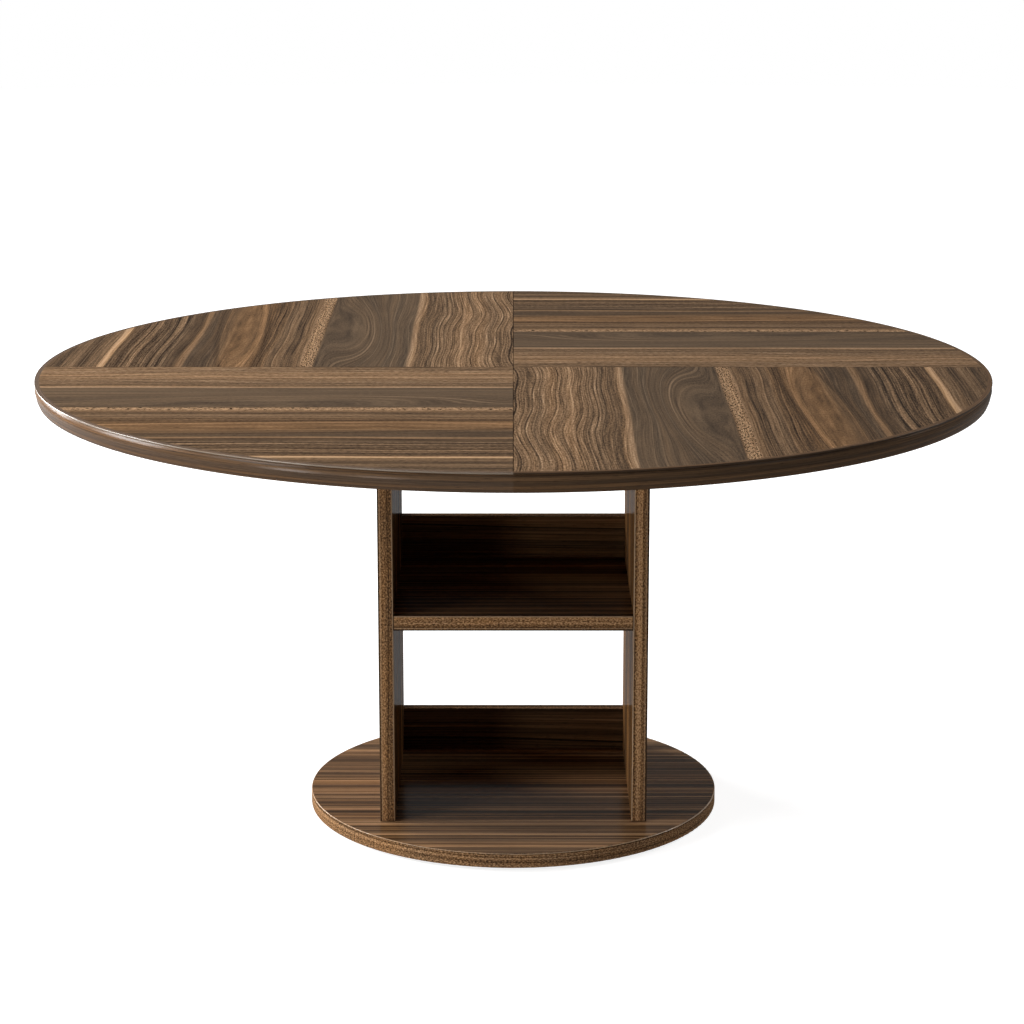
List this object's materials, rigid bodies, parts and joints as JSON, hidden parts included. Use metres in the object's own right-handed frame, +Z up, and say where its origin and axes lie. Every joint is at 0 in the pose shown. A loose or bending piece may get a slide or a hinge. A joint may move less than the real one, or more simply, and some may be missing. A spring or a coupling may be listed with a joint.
{
  "type": "round pedestal dining table",
  "caption": "Round dining table: a quartered walnut veneer top with a moulded rim on an open box pedestal with a fixed shelf and low back rails, on a round base with levelling feet.",
  "frame": {"origin": "centre of the round top and base, on the floor plane under the foot pads", "axes": "+Z up; +Y towards the back, where the two rails are; +X to the right seen from the open front"},
  "size_m": [1.6, 1.6, 0.7725],
  "materials": {
    "veneered_top": "figured walnut veneer, satin lacquer",
    "moulded_lipping": "walnut lipping, grain along the rim, satin lacquer",
    "veneered_base": "straight grained walnut veneer, satin lacquer",
    "veneered_board": "straight grained walnut veneer, satin lacquer",
    "edge_band": "walnut edge strip, rounded arrises",
    "bearer_wood": "planed softwood, oiled",
    "dowel_wood": "plain beech",
    "zinc_steel": "zinc plated",
    "cam_zinc": "die cast, tumbled",
    "pad_plastic": "fine moulded grain"
  },
  "bodies": {
    "table": {"base_disc": "veneered_base", "base_rail": "veneered_board", "base_rail_band": "edge_band", "base_rim_band": "edge_band", "bearer_back": "bearer_wood", "bearer_brackets": "zinc_steel", "bearer_front": "bearer_wood", "bearer_screws": "zinc_steel", "bracket_screws": "zinc_steel", "cam_bolts": "zinc_steel", "cam_locks": "cam_zinc", "cross_bearer_left": "bearer_wood", "cross_bearer_right": "bearer_wood", "end_dowels": "dowel_wood", "foot_inserts": "zinc_steel", "panel_screws": "zinc_steel", "rail_screws": "zinc_steel", "rim_lipping_back_left": "moulded_lipping", "rim_lipping_back_right": "moulded_lipping", "rim_lipping_front_left": "moulded_lipping", "rim_lipping_front_right": "moulded_lipping", "seam_dowels": "dowel_wood", "seam_plate_screws": "zinc_steel", "seam_plates": "zinc_steel", "shelf": "veneered_board", "shelf_back_band": "edge_band", "shelf_front_band": "edge_band", "shelf_rail": "veneered_board", "shelf_rail_band": "edge_band", "side_panel_left": "veneered_board", "side_panel_left_back_band": "edge_band", "side_panel_left_front_band": "edge_band", "side_panel_right": "veneered_board", "side_panel_right_back_band": "edge_band", "side_panel_right_front_band": "edge_band", "top_panel_back_left": "veneered_top", "top_panel_back_right": "veneered_top", "top_panel_front_left": "veneered_top", "top_panel_front_right": "veneered_top"},
    "foot_1_pad": {"foot_pad_1": "pad_plastic"},
    "foot_1_stem": {"foot_stem_1": "zinc_steel"},
    "foot_2_pad": {"foot_pad_2": "pad_plastic"},
    "foot_2_stem": {"foot_stem_2": "zinc_steel"},
    "foot_3_pad": {"foot_pad_3": "pad_plastic"},
    "foot_3_stem": {"foot_stem_3": "zinc_steel"},
    "foot_4_pad": {"foot_pad_4": "pad_plastic"},
    "foot_4_stem": {"foot_stem_4": "zinc_steel"},
    "foot_5_pad": {"foot_pad_5": "pad_plastic"},
    "foot_5_stem": {"foot_stem_5": "zinc_steel"},
    "foot_6_pad": {"foot_pad_6": "pad_plastic"},
    "foot_6_stem": {"foot_stem_6": "zinc_steel"}
  },
  "joints": [
    {"name": "foot_1_lift", "type": "slide", "parent": "table", "child": "foot_1_pad", "axis": [0, 0, -1], "range_m": [0, 0.008]},
    {"name": "foot_1_turn", "type": "hinge", "parent": "foot_1_pad", "child": "foot_1_stem", "pos_m": [0.315, 0, 0.0065], "axis": [0, 0, -1], "range_deg": [0, 2300]},
    {"name": "foot_2_lift", "type": "slide", "parent": "table", "child": "foot_2_pad", "axis": [0, 0, -1], "range_m": [0, 0.008]},
    {"name": "foot_2_turn", "type": "hinge", "parent": "foot_2_pad", "child": "foot_2_stem", "pos_m": [0.1575, 0.2728, 0.0065], "axis": [0, 0, -1], "range_deg": [0, 2300]},
    {"name": "foot_3_lift", "type": "slide", "parent": "table", "child": "foot_3_pad", "axis": [0, 0, -1], "range_m": [0, 0.008]},
    {"name": "foot_3_turn", "type": "hinge", "parent": "foot_3_pad", "child": "foot_3_stem", "pos_m": [-0.1575, 0.2728, 0.0065], "axis": [0, 0, -1], "range_deg": [0, 2300]},
    {"name": "foot_4_lift", "type": "slide", "parent": "table", "child": "foot_4_pad", "axis": [0, 0, -1], "range_m": [0, 0.008]},
    {"name": "foot_4_turn", "type": "hinge", "parent": "foot_4_pad", "child": "foot_4_stem", "pos_m": [-0.315, 0, 0.0065], "axis": [0, 0, -1], "range_deg": [0, 2300]},
    {"name": "foot_5_lift", "type": "slide", "parent": "table", "child": "foot_5_pad", "axis": [0, 0, -1], "range_m": [0, 0.008]},
    {"name": "foot_5_turn", "type": "hinge", "parent": "foot_5_pad", "child": "foot_5_stem", "pos_m": [-0.1575, -0.2728, 0.0065], "axis": [0, 0, -1], "range_deg": [0, 2300]},
    {"name": "foot_6_lift", "type": "slide", "parent": "table", "child": "foot_6_pad", "axis": [0, 0, -1], "range_m": [0, 0.008]},
    {"name": "foot_6_turn", "type": "hinge", "parent": "foot_6_pad", "child": "foot_6_stem", "pos_m": [0.1575, -0.2728, 0.0065], "axis": [0, 0, -1], "range_deg": [0, 2300]}
  ],
  "couplings": [
    {"joint": "foot_1_lift", "follows": "foot_1_turn", "m_per_rad": 0.00019894},
    {"joint": "foot_2_lift", "follows": "foot_2_turn", "m_per_rad": 0.00019894},
    {"joint": "foot_3_lift", "follows": "foot_3_turn", "m_per_rad": 0.00019894},
    {"joint": "foot_4_lift", "follows": "foot_4_turn", "m_per_rad": 0.00019894},
    {"joint": "foot_5_lift", "follows": "foot_5_turn", "m_per_rad": 0.00019894},
    {"joint": "foot_6_lift", "follows": "foot_6_turn", "m_per_rad": 0.00019894}
  ]
}
